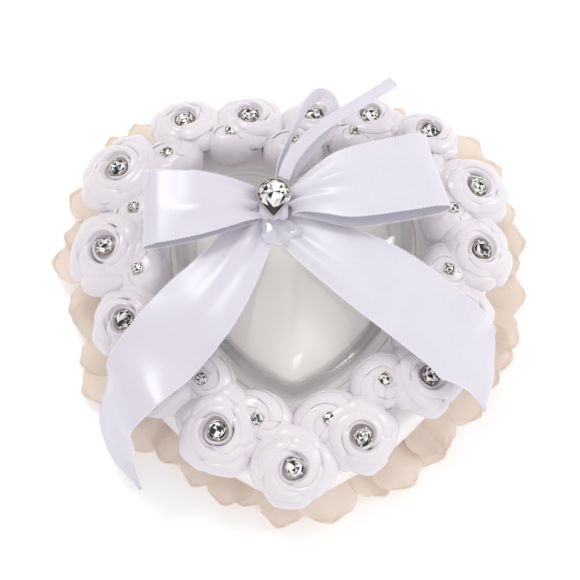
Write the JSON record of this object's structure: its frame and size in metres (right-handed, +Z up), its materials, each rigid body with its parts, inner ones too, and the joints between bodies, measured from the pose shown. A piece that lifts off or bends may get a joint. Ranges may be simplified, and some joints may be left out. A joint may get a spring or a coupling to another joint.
{
  "type": "ring bearer pillow",
  "caption": "Heart-shaped satin pillow with rings of ribbon roses and rosebuds round a clear heart box; the lift-off lid carries a satin bow.",
  "frame": {"origin": "under the middle of the backing board, on the surface that the pillow rests on", "axes": "+Z up, out of the pillow's top; -Y towards the heart's tip; +X to the right seen from the tip"},
  "size_m": [0.155, 0.1528, 0.0506],
  "materials": {
    "backing_card": "plain white card",
    "fringe_organza": "cream organza petals",
    "foam": "soft foam",
    "cover_satin": "white satin",
    "lining_satin": "cream satin",
    "clear_plastic": "clear moulded plastic",
    "rose_satin": "white satin ribbon",
    "ribbon_satin": "white satin ribbon with a woven edge",
    "tie_ribbon": "narrow white satin ribbon",
    "crystal": "cut crystal, foil backed",
    "setting_metal": "bright silver plate"
  },
  "bodies": {
    "pillow": {"backing_board": "backing_card", "petal_fringe": "fringe_organza", "foam_core": "foam", "satin_cover": "cover_satin", "box_base": "clear_plastic", "ring_pad": "lining_satin", "rose_01": "rose_satin", "rose_02": "rose_satin", "rose_03": "rose_satin", "rose_04": "rose_satin", "rose_05": "rose_satin", "rose_06": "rose_satin", "rose_07": "rose_satin", "rose_08": "rose_satin", "rose_09": "rose_satin", "rose_10": "rose_satin", "rose_11": "rose_satin", "rose_12": "rose_satin", "rose_13": "rose_satin", "rose_14": "rose_satin", "rose_15": "rose_satin", "rose_16": "rose_satin", "rose_stone_01": "crystal", "rose_stone_02": "crystal", "rose_stone_03": "crystal", "rose_stone_04": "crystal", "rose_stone_05": "crystal", "rose_stone_06": "crystal", "rose_stone_07": "crystal", "rose_stone_08": "crystal", "rose_stone_09": "crystal", "rose_stone_10": "crystal", "rose_stone_11": "crystal", "rose_stone_12": "crystal", "rose_stone_13": "crystal", "rose_stone_14": "crystal", "rose_stone_15": "crystal", "rose_stone_16": "crystal", "rosebud_01": "rose_satin", "rosebud_02": "rose_satin", "rosebud_03": "rose_satin", "rosebud_04": "rose_satin", "rosebud_05": "rose_satin", "rosebud_06": "rose_satin", "rosebud_07": "rose_satin", "rosebud_08": "rose_satin", "rosebud_09": "rose_satin", "rosebud_10": "rose_satin", "rosebud_11": "rose_satin", "rosebud_12": "rose_satin", "rosebud_13": "rose_satin", "rosebud_14": "rose_satin", "rosebud_15": "rose_satin"},
    "lid": {"box_lid": "clear_plastic", "bow_loops": "ribbon_satin", "bow_tails": "ribbon_satin", "bow_knot": "ribbon_satin", "pear_crystal": "crystal", "ring_tie_loop": "tie_ribbon", "ring_tie_tail": "tie_ribbon"}
  },
  "joints": [
    {"name": "lid_lift", "type": "slide", "parent": "pillow", "child": "lid", "axis": [0, 0, 1], "range_m": [0, 0.07]}
  ]
}
